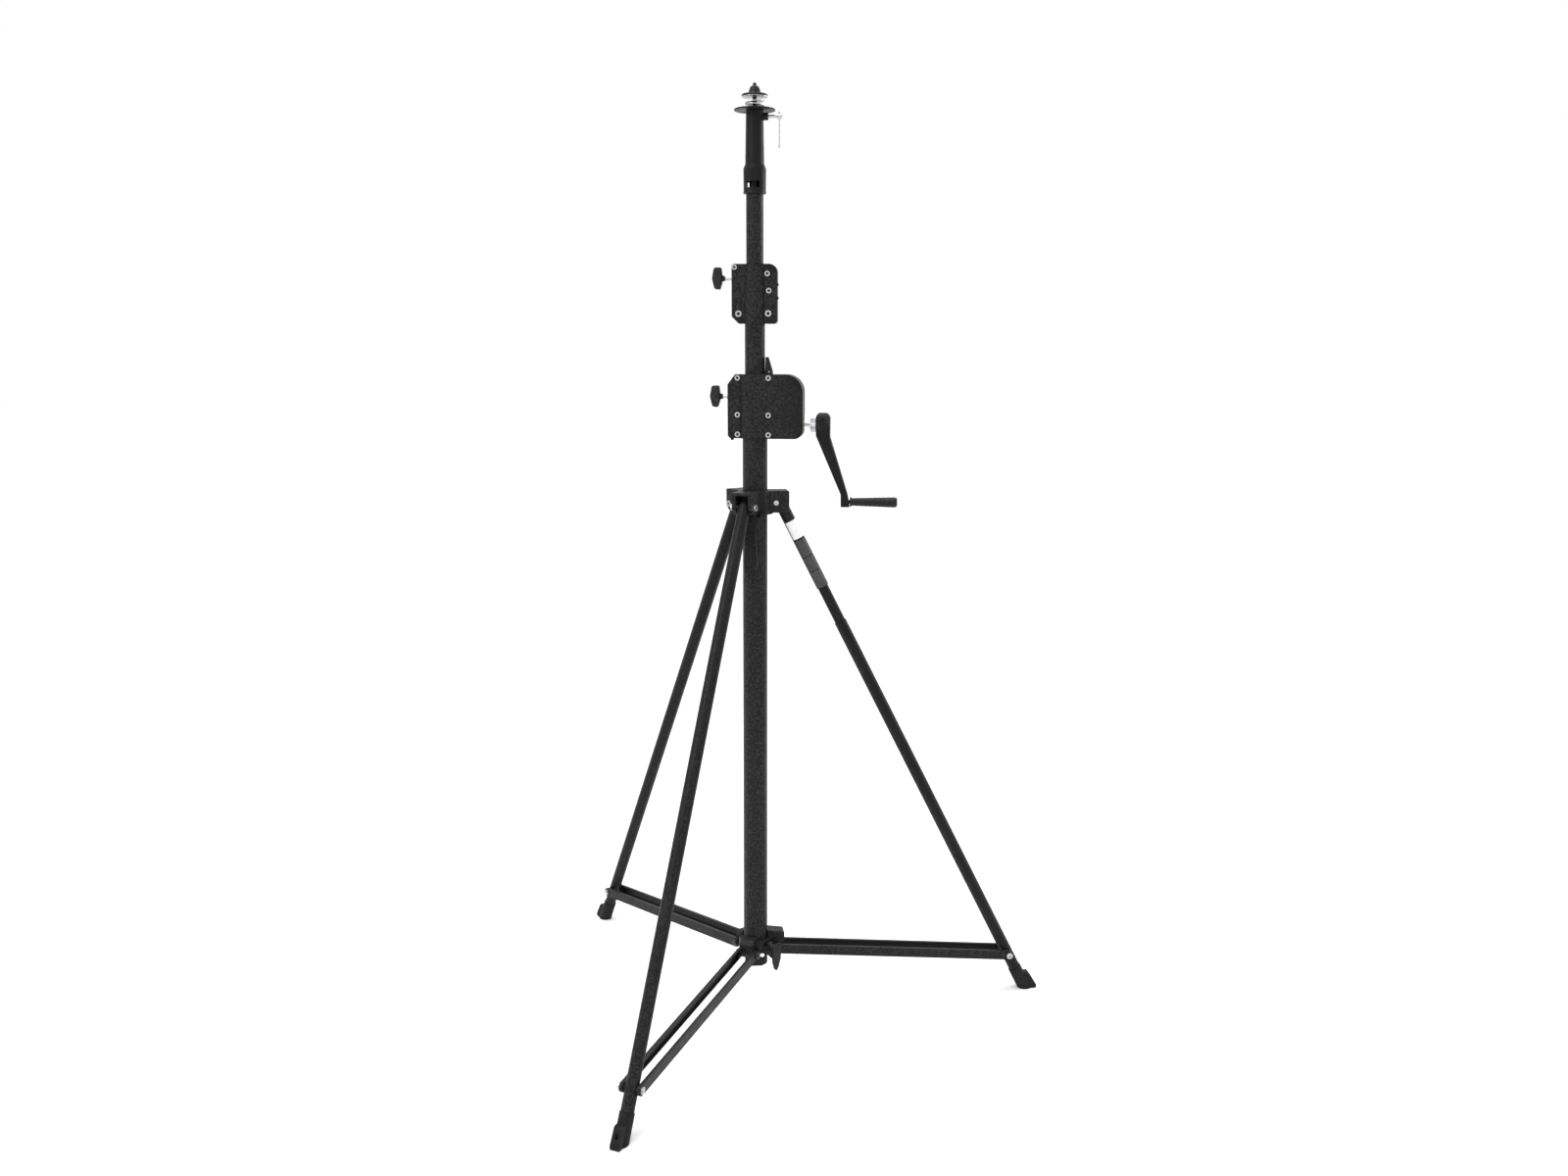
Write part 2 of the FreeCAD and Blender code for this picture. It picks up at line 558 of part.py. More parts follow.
def make_t_screw():
    z = T_SCREW_Z
    keep("spigot_pad", rod(V(14.5, 0, z), X_AXIS, 3.05, 1.6))
    screw = rod(V(16.4, 0, z), X_AXIS, 3.0, 27.2)
    head = lathe([(0, 0), (0, 4.0), (1, 4.8), (9.5, 4.8), (10.5, 4.0), (10.5, 0)],
                 V(43.5, 0, z), X_AXIS)
    hole = post(1.6, z - 10, z + 10, 48.8, 0)
    keep("t_screw", join([screw, head]).cut(hole))
    bar = [(1772.5, 0), (1772.5, 1.6), (1773.5, 2.4), (1777.0, 2.4), (1778.0, 1.5),
           (1836.1, 1.5), (1836.1, 2.3), (1839.0, 2.3), (1840.5, 1.4), (1840.5, 0)]
    keep("tommy_bar", lathe(bar, V(48.8, 0, 0), Z_AXIS))


# ---- crank --------------------------------------------------------------------------
def star_prism(x0, x1, inner, outer, lobes):
    """A serrated disc on the crank's axis."""
    points = []
    for i in range(2 * lobes + 1):
        radius = outer if i % 2 else inner
        angle = math.pi * i / lobes
        points.append(V(0, radius * math.cos(angle), radius * math.sin(angle)))
    solid = Part.Face(Part.makePolygon(points)).extrude(V(x1 - x0, 0, 0))
    solid.translate(V(x0, WORM_Y, SHAFT_Z))
    return solid


def crank_section(x0, x1, half_y, z, radius):
    corners = [(x0, -half_y, radius), (x1, -half_y, radius), (x1, half_y, radius),
               (x0, half_y, radius)]
    return rounded_wire(corners, lambda u, v: V(u, v + WORM_Y, z))


def make_crank():
    nut = star_prism(110.5, 121.5, 13.6, 15.0, 24)
    bore = rod(V(100, WORM_Y, SHAFT_Z), X_AXIS, 4.52, 60)
    keep("crank_nut", nut.cut(bore))
    front = plate_y([(122.5, 1214, 0), (150.5, 1214, 0), (150.5, 1262, 13), (122.5, 1262, 11)],
                    WORM_Y - 16, WORM_Y + 16)
    barrel = rod(V(120, WORM_Y, SHAFT_Z + 8), X_AXIS, 16.0, 34)
    stem = box(120, 154, WORM_Y - 14.5, WORM_Y + 14.5, 1213.9, SHAFT_Z + 8)
    hub = front.common(join([barrel, stem]))
    dimple = rod(V(136, WORM_Y - 17, 1247), Y_AXIS, 3.2, 3.2)
    hub = hub.cut(dimple)
    arm = Part.makeLoft([crank_section(122.5, 150.5, 14.5, 1214, 7),
                         crank_section(172.5, 187, 9.5, 1097, 5)], True, True)
    foot = Part.makeLoft([crank_section(172.5, 187, 9.5, 1097, 5),
                          crank_section(173, 190.5, 10.5, 1072, 5)], True, True)
    pin = rod(V(180, WORM_Y, CRANK_Z), X_AXIS, 4.0, 102)
    shaft_hole = rod(V(100, WORM_Y, SHAFT_Z), X_AXIS, 4.52, 29.6)
    keep("crank_arm", join([hub, arm, foot, pin]).cut(shaft_hole))
    grip = [(191.2, 4.08), (191.2, 9.6), (194.6, 9.6), (195.2, 7.9)]
    for i in range(9):
        x = 199.0 + 9.0 * i
        grip += [(x, 8.1 + 0.27 * i), (x + 2.0, 7.7 + 0.27 * i), (x + 4.0, 8.2 + 0.27 * i)]
    grip += [(281.5, 10.4), (285.5, 9.4), (287.0, 7.0), (287.0, 0), (282.6, 0), (282.6, 4.08)]
    keep("crank_grip", lathe(grip, V(0, WORM_Y, CRANK_Z), X_AXIS))


# ---- upper leg collar ---------------------------------------------------------------
def make_upper_collar():
    z0, z1 = 1058.0, 1105.0
    parts = [post(36.0, z0, z1)]
    outline = [(26, z1, 0), (67, z1, 2.5), (67, z1 - 34, 4), (58, z1 - 44, 5), (26, z1 - 44, 0)]
    for azimuth in LEG_AZIMUTH.values():
        cheek = plate_y(outline, -22.0, 22.0)
        web = plate_y([(26, z1 + 1, 0), (72, z1 + 1, 0), (72, z1 - 6, 0), (26, z1 - 6, 0)],
                      -13.8, 13.8)
        gap = box(37.5, 80, -13.8, 13.8, z0 - 5, z1 + 5).cut(web)
        parts.append(turned(cheek.cut(gap), azimuth))
    ledge = plate_y([(20, z0 - 5, 0), (44, z0 - 5, 2), (44, z0 + 4, 2), (20, z0 + 4, 0)], -7, 7)
    parts.append(turned(ledge, CLAMP_AZIMUTH + 37))
    boss = rod(V(28, 0, CLAMP_Z), X_AXIS, 8.5, 8.1)
    parts.append(turned(boss, CLAMP_AZIMUTH))
    collar = join(parts)
    collar = collar.cut(post(MAIN_R + 0.05, z0 - 10, z1 + 1))
    for leg, azimuth in LEG_AZIMUTH.items():
        start = -19.9 if leg == "right" else -30
        hole = rod(V(LEG_PIVOT[0], start, LEG_PIVOT[1]), Y_AXIS, 4.05, 60)
        collar = collar.cut(turned(hole, azimuth))
        way = box(37.5, 50, -13.8, 13.8, z0 - 6, z1 - 6)
        collar = collar.cut(turned(way, azimuth))
    clamp_hole = rod(V(40.0, -30, 1081), Y_AXIS, 3.02, 14.5)
    collar = collar.cut(turned(clamp_hole, LEG_AZIMUTH["right"]))
    pocket = rod(V(36.1, 0, CLAMP_Z), X_AXIS, 12.0, 12)
    stub = rod(V(36, 0, CLAMP_Z), X_AXIS, 4.0, 5.2)
    collar = collar.cut(turned(pocket, CLAMP_AZIMUTH))
    keep("upper_leg_collar", join([collar, turned(stub, CLAMP_AZIMUTH)]))


def make_leg_pivot_bolts():
    radius, height = LEG_PIVOT
    bolts = []
    for name, azimuth in LEG_AZIMUTH.items():
        length = 41.8 if name == "right" else 48.5
        bolt = socket_screw(V(radius, 22.0, height), Y_AXIS, 4.0, length, 6.5, 4.5)
        bolts.append(turned(bolt, azimuth))
        if name != "right":
            nut = hex_nut(V(radius, -22.0, height), -Y_AXIS, 13, 4.02, 5.5)
            bolts.append(turned(nut, azimuth))
    clamp = socket_screw(V(40.0, -22.0, 1081), -Y_AXIS, 3.0, 6, 5.0, 3.0)
    bolts.append(turned(clamp, LEG_AZIMUTH["right"]))
    keep("leg_pivot_bolts", Part.makeCompound(bolts))


def make_clamp_lever():
    """The lever on the upper collar; it turns about a radial stub."""
    hub = rod(V(36.4, 0, CLAMP_Z), X_AXIS, 9.0, 3.8)
    blade = rounded_wire([(-8, 0, 3), (-13, -95, 6), (-12, -118, 8), (-2, -130, 6),
                          (9, -126, 8), (14, -95, 8), (8, 0, 3)],
                         lambda u, v: V(31.5, u, CLAMP_Z + v))
    blade = Part.Face(blade).extrude(V(6.4, 0, 0))
    blade = blade.cut(post(39.0, CLAMP_Z - 12, CLAMP_Z + 5))
    neck = box(36.4, 40.2, -7.5, 7.5, CLAMP_Z - 26, CLAMP_Z)
    step = box(34.0, 40.2, -7.5, 7.5, CLAMP_Z - 30, CLAMP_Z - 13)
    lever = join([blade, hub, neck, step])
    lever = lever.cut(rod(V(30, 0, CLAMP_Z), X_AXIS, 4.0 + FIT, 20))
    keep("clamp_lever", turned(lever, CLAMP_AZIMUTH))


# ---- legs ---------------------------------------------------------------------------
LEG_END_S = 1192.0       # the leg tube's lower end, inside the foot
SLEEVE_S = (14.0, 190.0)
INNER_LEG_R = 11.2
LOWER_LEG_S = 274.0


def leg_head():
    """The cast eye in the top of a leg."""
    eye = Part.makeSphere(LEG_R, leg_point(0))
    neck = rod(leg_point(0), LEG_DIRECTION, LEG_R, 14)
    stub = rod(leg_point(14), LEG_DIRECTION, INNER_LEG_R, 30)
    head = join([eye, neck, stub])
    return head.cut(rod(leg_point(0, 0, -20), Y_AXIS, 4.0 + FIT, 40))


def pivot_sleeve():
    """A cross tube welded through the leg where the brace is pinned."""
    sleeve = rod(leg_point(BRACE_PIVOT_S, 0, -LUG_HALF), Y_AXIS, 6.5, 2 * LUG_HALF)
    return sleeve.cut(rod(leg_point(BRACE_PIVOT_S, 0, -20), Y_AXIS, 4.2, 40))


def foot():
    """A rubber boot, cut flat at the floor, with a toe that has a pegging hole."""
    boot = rod(leg_point(1150), LEG_DIRECTION, LUG_HALF, 80)
    toe = plate_y([(590, -2, 0), (620, -2, 0), (621.5, 7, 4), (604, 36, 6), (590, 36, 0)],
                  -9.5, 9.5)
    inside = rod(leg_point(1149), LEG_DIRECTION, LEG_R + 0.02, LEG_END_S - 1149 + 0.1)
    boot = join([boot, toe]).cut(box(500, 700, -50, 50, -60, 0))
    boot = boot.cut(inside).cut(post(3.5, -1, 30, 611.5))
    return boot


def make_plain_leg(name):
    azimuth = LEG_AZIMUTH[name]
    tube = leg_tube(LEG_R, LEG_WALL, 13.9, LEG_END_S)
    leg = join([tube, leg_head(), pivot_sleeve()])
    keep("leg_%s" % name, turned(leg, azimuth))
    keep("leg_%s_foot" % name, turned(foot(), azimuth))


def make_levelling_leg():
    """The right leg: a fixed inner tube and a lower tube that slides down over it."""
    azimuth = LEG_AZIMUTH["right"]
    sleeve = leg_tube(LEG_R, LEG_R - INNER_LEG_R, *SLEEVE_S)
    inner = leg_tube(INNER_LEG_R, 1.5, 40, 780)
    upper = join([sleeve, inner, leg_head()])
    keep("levelling_leg_upper", turned(upper, azimuth))
    lower = leg_tube(LEG_R, 1.0, LOWER_LEG_S, LEG_END_S)
    bush = leg_tube(LEG_R - 0.5, LEG_R - 0.5 - INNER_LEG_R - FIT, LOWER_LEG_S, LOWER_LEG_S + 40)
    lower = join([lower, bush, pivot_sleeve()])
    keep("levelling_leg_lower", turned(lower, azimuth))
    keep("levelling_leg_foot", turned(foot(), azimuth))


# ---- braces -------------------------------------------------------------------------
def brace_pair():
    """Two pressed channels from the lower collar to the leg, open towards each other."""
    inner = V(COLLAR_PIVOT[0], 0, COLLAR_PIVOT[1])
    outer = leg_point(BRACE_PIVOT_S)
    run = outer - inner
    length = run.Length
    half = BRACE_HEIGHT / 2.0
    y0 = BRACE_INNER_Y
    y1 = y0 + BRACE_FLANGE
    bar = box(0, length, y0, y1, -half, half)
    ends = [rod(V(x, y0, 0), Y_AXIS, half, BRACE_FLANGE) for x in (0, length)]
    bar = join([bar] + ends)
    groove = box(14, length - 14, y0 - 1, y1 - BRACE_SHEET, -half + BRACE_SHEET,
                 half - BRACE_SHEET)
    bar = bar.cut(groove)
    for x in (0, length):
        bar = bar.cut(rod(V(x, y0 - 1, 0), Y_AXIS, 4.0 + FIT, 10))
    other = bar.mirror(ORIGIN, Y_AXIS)
    pair = []
    tilt = math.degrees(math.atan2(-run.z, run.x))
    for side in (bar, other):
        side = side.copy()
        side.rotate(ORIGIN, Y_AXIS, tilt)
        side.translate(inner)
        pair.append(side)
    return pair


def brace_outer_bolts():
    """The outer pivot's bolt ends: each stops short of the leg between the channels."""
    bolts = []
    centre = leg_point(BRACE_PIVOT_S)
    y1 = BRACE_INNER_Y + BRACE_FLANGE
    for side in (-1, 1):
        point = centre + Y_AXIS * (side * y1)
        if side < 0:
            bolts.append(socket_screw(point, -Y_AXIS, 4.08, BRACE_FLANGE, 6.6, 4.0))
        else:
            cap = post(7.0, 0, 2.0).fuse(post(4.08, -BRACE_FLANGE, 3.5)).removeSplitter()
            cap.Placement = FreeCAD.Placement(point, FreeCAD.Rotation(Z_AXIS, Y_AXIS))
            bolts.append(cap)
    return bolts


def make_braces():
    names = {"right": "levelling_brace", "left": "brace_left", "front": "brace_front"}
    for leg, name in names.items():
        azimuth = LEG_AZIMUTH[leg]
        keep(name, Part.makeCompound([turned(s, azimuth) for s in brace_pair()]))
        bolts = [turned(s, azimuth) for s in brace_outer_bolts()]
        keep(name + "_outer_bolts", Part.makeCompound(bolts))


# ---- lower collar -------------------------------------------------------------------
def make_lower_collar():
    z0, z1 = 130.0, 151.0
    parts = [post(35.5, z0, z1), post(33.0, z0 - 6, z0 + 1)]
    low_lug = [(26, 160, 0), (40, 158, 3), (50, 150, 3), (50, 128, 7), (45, 119.5, 6),
               (38, 119.5, 6), (31, 127, 0), (26, 127, 0)]
    high_lug = [(26, 168, 0), (60, 163, 2), (60, 146, 4), (52, 119, 7), (38, 118, 6),
                (31, 127, 0), (26, 127, 0)]
    for leg, azimuth in LEG_AZIMUTH.items():
        lug = high_lug if leg == "right" else low_lug
        block = plate_y(lug, -LUG_HALF, LUG_HALF)
        block = block.cut(rod(V(COLLAR_PIVOT[0], -20, COLLAR_PIVOT[1]), Y_AXIS, 4.05, 40))
        parts.append(turned(block, azimuth))
    parts.append(turned(skirt_plate(), PLATE_AZIMUTH))
    cheeks = plate_y([(28, 148, 0), (42, 148, 3), (52, 136, 4), (52, 124, 4), (44, 122, 3),
                      (28, 130, 0)], -6, 6)
    pivot = rod(V(LATCH_PIVOT[0], -12, LATCH_PIVOT[1]), Y_AXIS, 3.02, 24)
    parts.append(turned(cheeks.cut(pivot), LATCH_AZIMUTH))
    collar = join(parts).cut(post(MAIN_R + 0.3, 90, 180))
    keep("lower_leg_collar", collar)


def skirt_plate():
    """A hanging plate between two lugs, with two holes for a safety line."""
    outline = rounded_wire([(-22, 140, 0), (-22, 100, 7), (-12, 96.5, 10), (14, 97.5, 10),
                            (25, 104, 7), (25, 140, 0)], lambda u, v: V(27.0, u, v))
    plate = Part.Face(outline).extrude(V(4.0, 0, 0))
    plate = plate.cut(rod(V(20, -15.5, 119.5), X_AXIS, 3.2, 20))
    return plate.cut(rod(V(20, 14.0, 120.5), X_AXIS, 5.0, 20))


def make_collar_bolts():
    radius, height = COLLAR_PIVOT
    y1 = BRACE_INNER_Y + BRACE_FLANGE
    bolts = []
    for azimuth in LEG_AZIMUTH.values():
        bolt = socket_screw(V(radius, -y1 - 0.1, height), -Y_AXIS, 4.0, 2 * y1 + 6, 6.2, 4.0)
        nut = hex_nut(V(radius, y1 + 0.1, height), Y_AXIS, 13, 4.02, 5.0)
        bolts += [turned(bolt, azimuth), turned(nut, azimuth)]
    pin = socket_screw(V(LATCH_PIVOT[0], -9.2, LATCH_PIVOT[1]), -Y_AXIS, 3.0, 18.5, 4.8, 3.0)
    bolts.append(turned(pin, LATCH_AZIMUTH))
    keep("collar_bolts", Part.makeCompound(bolts))


def make_latch():
    """The release latch on the lower collar: a pointed tab that hangs outside it."""
    radius, height = LATCH_PIVOT
    tab = rounded_wire([(-9, 18, 2), (-8.5, -20, 3), (-3, -36, 1.5), (2, -40.5, 1.5),
                        (8, -34, 2), (15, -16, 4), (16, 18, 2)],
                       lambda u, v: V(radius + 8.0, u, height + v))
    tab = Part.Face(tab).extrude(V(4.0, 0, 0))
    arms = []
    for y0, y1 in ((-9.0, -6.4), (6.4, 9.0)):
        arm = plate_y([(radius - 6, height - 6, 5), (radius + 10, height - 12, 0),
                       (radius + 10, height + 12, 0), (radius - 6, height + 6, 5)], y0, y1)
        arms.append(arm)
    latch = join([tab] + arms)
    latch = latch.cut(rod(V(radius, -20, height), Y_AXIS, 3.0 + FIT, 40))
    keep("collar_latch", turned(latch, LATCH_AZIMUTH))


def build():
    make_main_tube()
    make_riser_1()
    make_riser_2()
    make_winch_covers()
    make_winch_fasteners()
    make_winch_inside()
    make_drum()
    make_worm_wheel()
    make_crank_shaft()
    make_crank()
    make_lock("winch", LOCK1_Z, -20.35, -64.5)
    make_lock("head", LOCK2_Z, -17.35, -59.0)
    make_head_box()
    make_head_box_parts()
    make_cables()
    make_head_socket()
    make_adapter()
    make_clamp_nut()
    make_t_screw()
    make_upper_collar()
    make_leg_pivot_bolts()
    make_clamp_lever()
    make_plain_leg("left")
    make_plain_leg("front")
    make_levelling_leg()
    make_braces()
    make_lower_collar()
    make_collar_bolts()
    make_latch()


def export():
    os.makedirs("parts", exist_ok=True)
    for name, shape in NODES.items():
        solids = shape.Solids
        valid = all(s.isValid() for s in solids)
        print("%-30s solids %2d  volume %10.1f  valid %s" % (name, len(solids), shape.Volume, valid))
        if len(solids) == 1:
            shape = solids[0]
        else:
            shape = Part.makeCompound(solids)
        shape.exportStep("parts/%s.step" % name)
    print(len(NODES), "nodes")


build()
export()
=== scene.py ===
"""Looks for the crank lighting stand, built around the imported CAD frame.  Metres, +Z up."""

import json
import math

import bmesh
import bpy
from mathutils import Matrix, Vector


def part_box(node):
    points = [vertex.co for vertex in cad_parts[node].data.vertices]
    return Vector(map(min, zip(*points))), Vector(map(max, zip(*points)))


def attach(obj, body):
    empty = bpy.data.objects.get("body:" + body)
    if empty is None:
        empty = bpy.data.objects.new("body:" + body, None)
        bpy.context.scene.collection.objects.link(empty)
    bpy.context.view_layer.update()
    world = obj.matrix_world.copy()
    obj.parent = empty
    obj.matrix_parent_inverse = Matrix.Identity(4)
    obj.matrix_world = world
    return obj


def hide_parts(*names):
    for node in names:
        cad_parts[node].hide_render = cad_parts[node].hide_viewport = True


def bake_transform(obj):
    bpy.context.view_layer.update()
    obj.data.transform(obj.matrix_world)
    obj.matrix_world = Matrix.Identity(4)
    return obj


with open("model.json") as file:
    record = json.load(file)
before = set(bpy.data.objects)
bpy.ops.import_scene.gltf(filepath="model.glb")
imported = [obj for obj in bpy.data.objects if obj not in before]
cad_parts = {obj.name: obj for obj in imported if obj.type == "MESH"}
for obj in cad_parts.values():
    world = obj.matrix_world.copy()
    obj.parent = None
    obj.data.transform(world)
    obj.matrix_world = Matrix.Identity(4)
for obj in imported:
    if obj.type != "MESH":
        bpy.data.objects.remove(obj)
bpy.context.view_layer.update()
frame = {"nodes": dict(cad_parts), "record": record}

MM = 0.001
UP = Vector((0, 0, 1))

# the leg's line, worked out from where its pivot and its foot are in the CAD
LEG_TURN = {"right": 13.0, "left": 135.0, "front": 253.0}
LEG_BODY = {"right": "levelling_leg", "left": "leg_left", "front": "leg_front"}
LEG_TOP = Vector((0.054, 0, 1.075))
LEG_FLOOR = Vector((0.597, 0, 0))
LEG_LINE = (LEG_FLOOR - LEG_TOP).normalized()
LEG_OUT = Vector((-LEG_LINE.z, 0, LEG_LINE.x))
LEG_RADIUS = 0.0127


# ---- node helpers -------------------------------------------------------------------
class Material:
    """A small builder for procedural materials in object space."""

    def __init__(self, name):
        self.material = bpy.data.materials.new(name)
        self.material.use_nodes = True
        self.nodes = self.material.node_tree.nodes
        self.links = self.material.node_tree.links
        self.shader = self.nodes["Principled BSDF"]
        self.coords = self.nodes.new("ShaderNodeTexCoord").outputs["Object"]

    def link(self, a, b):
        self.links.new(a, b)

    def set(self, **values):
        for key, value in values.items():
            self.shader.inputs[key.replace("_", " ")].default_value = value

    def noise(self, scale, detail=3.0, rough=0.55, stretch=None):
        node = self.nodes.new("ShaderNodeTexNoise")
        node.inputs["Scale"].default_value = scale
        node.inputs["Detail"].default_value = detail
        node.inputs["Roughness"].default_value = rough
        source = self.coords
        if stretch is not None:
            mapping = self.nodes.new("ShaderNodeMapping")
            mapping.inputs["Scale"].default_value = stretch
            self.link(source, mapping.inputs["Vector"])
            source = mapping.outputs["Vector"]
        self.link(source, node.inputs["Vector"])
        return node.outputs["Fac"]

    def cells(self, scale):
        node = self.nodes.new("ShaderNodeTexVoronoi")
        node.inputs["Scale"].default_value = scale
        self.link(self.coords, node.inputs["Vector"])
        return node.outputs["Distance"]

    def ramp(self, source, low, high, out_low=0.0, out_high=1.0):
        node = self.nodes.new("ShaderNodeMapRange")
        node.inputs["From Min"].default_value = low
        node.inputs["From Max"].default_value = high
        node.inputs["To Min"].default_value = out_low
        node.inputs["To Max"].default_value = out_high
        self.link(source, node.inputs["Value"])
        return node.outputs["Result"]

    def math(self, operation, a, b):
        node = self.nodes.new("ShaderNodeMath")
        node.operation = operation
        for socket, value in zip(node.inputs, (a, b)):
            if isinstance(value, (int, float)):
                socket.default_value = value
            else:
                self.link(value, socket)
        return node.outputs["Value"]

    def mix(self, factor, a, b):
        node = self.nodes.new("ShaderNodeMix")
        node.data_type = "RGBA"
        self.link(factor, node.inputs["Factor"])
        for socket, value in ((node.inputs[6], a), (node.inputs[7], b)):
            if isinstance(value, tuple):
                socket.default_value = (*value, 1.0)
            else:
                self.link(value, socket)
        return node.outputs[2]

    def edges(self, low, high):
        """White on worn outer edges, from how sharply the surface is turning; on the nylon it
        also stands for a painted sheen.
        """
        node = self.nodes.new("ShaderNodeNewGeometry")
        return self.ramp(node.outputs["Pointiness"], low, high)

    def up_facing(self, low, high):
        """White where the surface looks up, for the dust that settles there and for painted light
        from above.
        """
        geometry = self.nodes.new("ShaderNodeNewGeometry")
        split = self.nodes.new("ShaderNodeSeparateXYZ")
        self.link(geometry.outputs["Normal"], split.inputs["Vector"])
        return self.ramp(split.outputs["Z"], low, high)

    def bump(self, height, strength, distance):
        node = self.nodes.new("ShaderNodeBump")
        node.inputs["Strength"].default_value = strength
        node.inputs["Distance"].default_value = distance
        self.link(height, node.inputs["Height"])
        self.link(node.outputs["Normal"], self.shader.inputs["Normal"])

    def colour(self, source):
        self.link(source, self.shader.inputs["Base Color"])

    def roughness(self, source):
        self.link(source, self.shader.inputs["Roughness"])


def powder_coat():
    """Fine-textured satin black, lighter and rougher where it looks up (dust and painted top
    light), rubbed on its edges.
    """
    m = Material("black_powder_coat")
    m.set(Specular_IOR_Level=0.13, Metallic=0.0)
    grain = m.cells(1400.0)
    cloud = m.noise(9.0, 4.0)
    speck = m.ramp(m.noise(1100.0, 2.0, 0.7), 0.55, 0.75)
    base = m.mix(m.ramp(cloud, 0.3, 0.7), (0.0040, 0.0040, 0.0042), (0.0070, 0.0070, 0.0073))
    base = m.mix(m.math("MULTIPLY", speck, 0.15), base, (0.022, 0.022, 0.023))
    # up-facing faces lightened: dust, and painted light from above
    dust_and_top_light = m.math("MULTIPLY", m.up_facing(0.55, 1.0), m.ramp(cloud, 0.35, 0.65, 0.04, 0.22))
    base = m.mix(dust_and_top_light, base, (0.075, 0.074, 0.072))
    rub = m.math("MULTIPLY", m.edges(0.53, 0.6), m.ramp(m.noise(240.0), 0.42, 0.62))
    base = m.mix(m.math("MULTIPLY", rub, 0.25), base, (0.07, 0.07, 0.07))
    m.colour(base)
    rough = m.ramp(m.noise(55.0, 4.0), 0.3, 0.7, 0.36, 0.5)
    m.roughness(m.math("ADD", rough, m.math("MULTIPLY", dust_and_top_light, 0.35)))
    m.bump(grain, 0.13, 0.0003)
    return m.material


def zinc_steel():
    """Bright plated steel with fine turning marks and a little dulling."""
    m = Material("zinc_steel")
    m.set(Metallic=1.0)
    cloud = m.ramp(m.noise(120.0, 3.0), 0.3, 0.7)
    base = m.mix(cloud, (0.40, 0.40, 0.41), (0.55, 0.55, 0.56))
    stain = m.ramp(m.noise(420.0, 4.0, 0.7), 0.58, 0.72)
    m.colour(m.mix(m.math("MULTIPLY", stain, 0.55), base, (0.22, 0.215, 0.21)))
    m.roughness(m.ramp(m.noise(700.0, 2.0), 0.3, 0.7, 0.26, 0.42))
    m.bump(m.noise(1500.0, 2.0, stretch=(1.0, 1.0, 5.0)), 0.12, 0.0001)
    return m.material


def black_oxide():
    """Chemically blacked steel of the smaller fasteners, browned a little where oil has dried."""
    m = Material("black_oxide")
    m.set(Specular_IOR_Level=0.3, Metallic=0.0)
    cloud = m.ramp(m.noise(150.0, 3.0), 0.3, 0.7)
    base = m.mix(cloud, (0.0075, 0.0075, 0.0078), (0.014, 0.0135, 0.013))
    rub = m.math("MULTIPLY", m.edges(0.52, 0.6), m.ramp(m.noise(500.0), 0.4, 0.6))
    m.colour(m.mix(m.math("MULTIPLY", rub, 0.4), base, (0.09, 0.09, 0.09)))
    m.roughness(m.ramp(m.noise(600.0, 2.0), 0.3, 0.7, 0.28, 0.42))
    m.bump(m.noise(1800.0, 2.0), 0.1, 0.0001)
    return m.material


def machined_aluminium():
    """Turned aluminium with a slightly dull, uneven lustre."""
    m = Material("machined_aluminium")
    m.set(Metallic=1.0)
    cloud = m.ramp(m.noise(60.0, 3.0), 0.3, 0.7)
    m.colour(m.mix(cloud, (0.46, 0.465, 0.475), (0.60, 0.605, 0.61)))
    m.roughness(m.ramp(m.noise(500.0, 3.0), 0.3, 0.7, 0.28, 0.46))
    m.bump(m.noise(2200.0, 2.0, stretch=(1.0, 1.0, 8.0)), 0.12, 0.0001)
    return m.material


def moulded_plastic():
    """Black nylon with a spark-eroded grain, lighter on the edges that hands rub: wear and a
    painted sheen.
    """
    m = Material("black_nylon")
    m.set(Specular_IOR_Level=0.22)
    cloud = m.ramp(m.noise(28.0, 3.0), 0.3, 0.7)
    base = m.mix(cloud, (0.0048, 0.0048, 0.0050), (0.0085, 0.0085, 0.0088))
    wear_and_sheen = m.math("MULTIPLY", m.edges(0.52, 0.58), m.ramp(m.noise(160.0), 0.4, 0.6))
    # rubbed edges lightened: wear, and a painted sheen
    m.colour(m.mix(m.math("MULTIPLY", wear_and_sheen, 0.25), base, (0.05, 0.05, 0.05)))
    m.roughness(m.ramp(m.noise(90.0, 4.0), 0.3, 0.7, 0.34, 0.52))
    m.bump(m.cells(2300.0), 0.2, 0.0002)
    return m.material


def boot_rubber():
    """Black rubber, scuffed along its length."""
    m = Material("boot_rubber")
    m.set(Specular_IOR_Level=0.15)
    cloud = m.ramp(m.noise(40.0, 4.0), 0.3, 0.7)
    base = m.mix(cloud, (0.0055, 0.0055, 0.0055), (0.011, 0.0108, 0.0106))
    scuff = m.ramp(m.noise(300.0, 3.0, 0.7, (1.0, 1.0, 0.25)), 0.6, 0.72)
    m.colour(m.mix(m.math("MULTIPLY", scuff, 0.3), base, (0.045, 0.044, 0.043)))
    m.roughness(m.ramp(m.noise(150.0, 4.0), 0.3, 0.7, 0.55, 0.75))
    m.bump(m.noise(900.0, 4.0), 0.3, 0.0003)
    return m.material


def cast_bronze():
    """Worn bearing bronze."""
    m = Material("bronze")
    m.set(Metallic=1.0)
    cloud = m.ramp(m.noise(90.0, 3.0), 0.3, 0.7)
    m.colour(m.mix(cloud, (0.60, 0.42, 0.22), (0.75, 0.56, 0.33)))
    m.roughness(m.ramp(m.noise(420.0, 3.0), 0.3, 0.7, 0.25, 0.42))
    m.bump(m.noise(1300.0, 3.0), 0.12, 0.0001)
    return m.material


